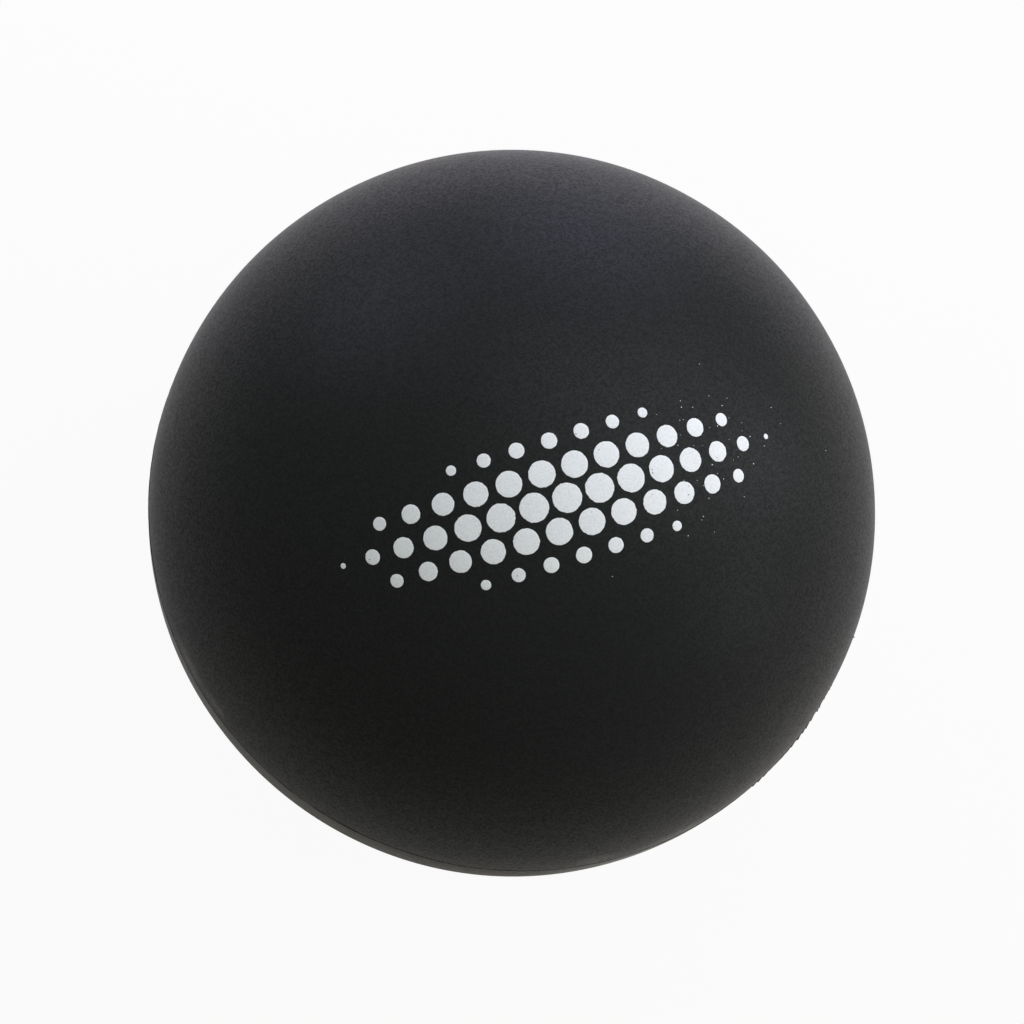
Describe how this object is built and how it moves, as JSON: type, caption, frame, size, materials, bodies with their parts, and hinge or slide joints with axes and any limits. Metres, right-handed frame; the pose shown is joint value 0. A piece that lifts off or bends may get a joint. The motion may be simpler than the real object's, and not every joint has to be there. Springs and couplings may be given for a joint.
{
  "type": "lacrosse ball",
  "caption": "Solid matte black rubber ball with a trimmed mould seam around its middle and a plain pale print on one side, for lacrosse and for pressing out tight muscles.",
  "frame": {"origin": "centre of the ball, in the parting plane of its two halves", "axes": "+Z square to the parting plane, towards the middle of the printed half; X and Y lie in the parting plane"},
  "size_m": [0.0636, 0.0636, 0.0635],
  "materials": {
    "rubber": "matte moulded black",
    "trimmed_rubber": "dry, slightly paler black where the flash was trimmed",
    "print_ink": "thin silver-white printed ink, slightly grainy"
  },
  "bodies": {
    "root": {"printed_half": "rubber", "plain_half": "rubber", "seam_flash": "trimmed_rubber"}
  },
  "joints": []
}
